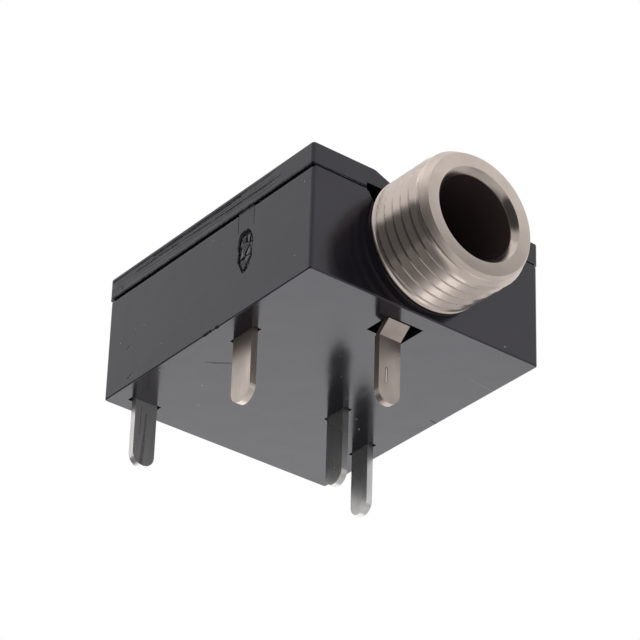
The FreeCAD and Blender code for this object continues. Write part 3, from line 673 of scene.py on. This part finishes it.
def make_trimmed_band(name, side):
    """Torn layers in the shallow band along the lid's side, left (-1) or right (1). The depth
    under the side's face is a sum of ridges. Each follows its own wandering line along the lid
    from its own start, and falls away steeply under that line and gently above it. At the rear
    the depth follows the lid's rounded corner."""
    turn = lid_high[1] - LID_CORNER
    y = np.linspace(BAND_START, turn + CORNER_OVERLAP, BAND_COLUMNS)[None, :]
    z = np.linspace(BAND_LOW, BAND_HIGH, BAND_ROWS)[:, None]
    random = np.random.default_rng(BAND_SEED)
    depth = np.zeros((z.size, y.size))
    for ridge in range(RIDGES):
        sway = RIDGE_SWAY * wander(y / MM, seed=20 + ridge, longest=9.0)
        line = BAND_LOW + (RIDGE_FOOT + RIDGE_STEP * ridge + sway) * MM
        start = BAND_START + random.uniform(0, 3.5) * MM
        swell = 0.75 + 0.25 * wander(y / MM, seed=50 + ridge, longest=2.5)
        strength = random.uniform(0.25, 1.0) * swell
        above = (z - line) / MM
        layer = np.where(above > 0, np.exp(-above / RIDGE_ABOVE), np.exp(above / RIDGE_BELOW))
        depth += strength * layer * smooth_step(y, start, start + 1.2 * MM)
    depth = BAND_DEPTH * (1 - np.exp(-0.9 * depth))
    depth *= smooth_step(y, BAND_START, BAND_START + 0.25 * MM)
    depth *= smooth_step(z, BAND_LOW, BAND_LOW + 0.04 * MM)
    depth *= 1 - smooth_step(z, BAND_HIGH - 0.03 * MM, BAND_HIGH)
    past = np.clip(y - turn, 0, LID_CORNER)
    corner = LID_CORNER - np.sqrt(LID_CORNER ** 2 - past ** 2)
    depth = np.maximum(depth, corner) + SKIN * MM
    points = grid_points(side * (lid_high[0] - depth), y, z)
    faces = grid_faces(BAND_ROWS, BAND_COLUMNS)
    add_piece(name, points, faces if side > 0 else faces[:, ::-1], lid_plastic,
              "socket")


STAKE_MIDDLE = front_face + 4.38 * MM
STAKE_HALF = 0.54 * MM
STAKE_LOW = 1.8 * MM
STAKE_HIGH = 3.87 * MM
STAKE_ROWS, STAKE_COLUMNS = 210, 110
# The oval, in millimetres: its middle's height, half its height, half its breadth, and the power
# that makes it squarer than an ellipse.
OVAL_MIDDLE, OVAL_HALF_HEIGHT, OVAL_HALF_BREADTH, OVAL_POWER = 2.82, 1.0, 0.49, 2.6
OVAL_TAPER = 0.16
# The facets' number, how far from the oval's middle their points are scattered along it and up,
# the depth and breadth of the seams between them, and the rim's: depths in millimetres, and the
# rim's place and breadth as shares of the way from the oval's middle to its edge.
FACETS = 13
SCATTER = (0.45, 0.95)
SEAM_DEPTH, SEAM_BREADTH = 0.07, 0.03
RIM_DEPTH, RIM_PLACE, RIM_BREADTH = 0.12, 0.9, 0.09
DEEPEST = 0.135
STAKE_SEED = 7


def make_stake(name, side):
    """The clip's foot where it was pressed into the wall, left (-1) or right (1). Inside a rough
    oval, the nearest of some scattered points gives each spot its own tilted facet, and the
    depth grows where two facets meet and along the oval. Outside it the skin is flush."""
    y = np.linspace(-STAKE_HALF, STAKE_HALF, STAKE_COLUMNS)[None, :] / MM
    z = np.linspace(STAKE_LOW, STAKE_HIGH, STAKE_ROWS)[:, None] / MM
    up = (z - OVAL_MIDDLE) / OVAL_HALF_HEIGHT
    half = OVAL_HALF_BREADTH - OVAL_TAPER * smooth_step(-up, 0.2, 1.0)
    half = half + 0.04 * wander(up, seed=5, longest=1.3)
    reach = (np.abs(y / half) ** OVAL_POWER + np.abs(up) ** OVAL_POWER) ** (1 / OVAL_POWER)
    reach = reach + 0.06 * wander(np.arctan2(up, y / half), seed=8, longest=2.1)
    random = np.random.default_rng(STAKE_SEED)
    spots = random.uniform((-SCATTER[0], OVAL_MIDDLE - SCATTER[1]),
                           (SCATTER[0], OVAL_MIDDLE + SCATTER[1]), (FACETS, 2))
    away = np.stack([np.hypot(y - a, (z - b) * 0.8) for a, b in spots])
    order = np.argsort(away, axis=0)
    nearest, second = (np.take_along_axis(away, order[n:n + 1], 0)[0] for n in (0, 1))
    spot = order[0]
    level = random.uniform(0.01, 0.06, FACETS)[spot]
    tilt = random.uniform(-0.25, 0.25, (2, FACETS))[:, spot]
    facet = (level + tilt[0] * (y - spots[spot, 0])
             + tilt[1] * (z - spots[spot, 1]) * 0.6)
    seam = SEAM_DEPTH * np.exp(-(second - nearest) / SEAM_BREADTH)
    rim = RIM_DEPTH * np.exp(-((reach - RIM_PLACE) / RIM_BREADTH) ** 2)
    inside = 1 - smooth_step(reach, 0.94, 1.04)
    depth = np.clip((facet + seam + rim) * inside, 0.0, DEEPEST) + SKIN
    points = grid_points(side * (case_high[0] - depth * MM), STAKE_MIDDLE + y * MM, z * MM)
    faces = grid_faces(STAKE_ROWS, STAKE_COLUMNS)
    add_piece(name, points, faces if side > 0 else faces[:, ::-1], case_plastic,
              "socket")


for name, material in (("housing", case_plastic), ("lid", lid_plastic),
                       ("sleeve_terminal", sleeve_strip), ("ring_terminal", ring_strip),
                       ("ring_switch", terminal_strip), ("tip_terminal", tip_strip),
                       ("tip_switch", tip_switch_strip), ("ring_spring", spring_strip),
                       ("tip_spring", spring_strip)):
    nodes[name].data.materials.clear()
    nodes[name].data.materials.append(material)

make_threaded_bush()
for word, side in (("left", -1), ("right", 1)):
    make_trimmed_band(word + "_trimmed_band", side)
    make_stake(word + "_stake", side)

bpy.context.scene.view_settings.view_transform = "Standard"
